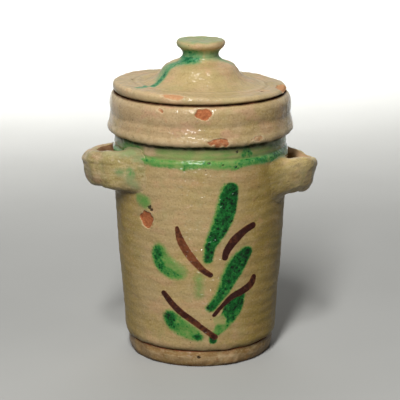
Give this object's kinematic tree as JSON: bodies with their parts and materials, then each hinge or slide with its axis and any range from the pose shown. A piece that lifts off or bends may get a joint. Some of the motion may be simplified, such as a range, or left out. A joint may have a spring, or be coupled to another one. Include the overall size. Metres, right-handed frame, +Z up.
{
  "type": "lidded jar",
  "caption": "Lidded earthenware salt jar: tapering glazed body on a ring foot, thick rim collar, side strap handles and a loose domed lid with a button knob.",
  "frame": {"origin": "centre of the jar's axis on the table plane", "axes": "+Z up along the jar's axis, X through the two handles, the painted front faces -Y"},
  "size_m": [0.1645, 0.1288, 0.22],
  "materials": {
    "ochre_glaze": "glossy ochre lead glaze over slip, with copper-green and manganese-brown brushwork",
    "bare_clay": "unglazed terracotta"
  },
  "bodies": {
    "jar": {"jar_body": "ochre_glaze", "foot_ring": "ochre_glaze", "rim_collar": "ochre_glaze", "handle_left": "ochre_glaze", "handle_right": "ochre_glaze"},
    "lid": {"lid": "ochre_glaze", "lid_flange": "bare_clay", "lid_knob": "ochre_glaze"}
  },
  "joints": [
    {"name": "lid_lift", "type": "slide", "parent": "jar", "child": "lid", "axis": [0, 0, 1], "range_m": [0, 0.12]}
  ]
}
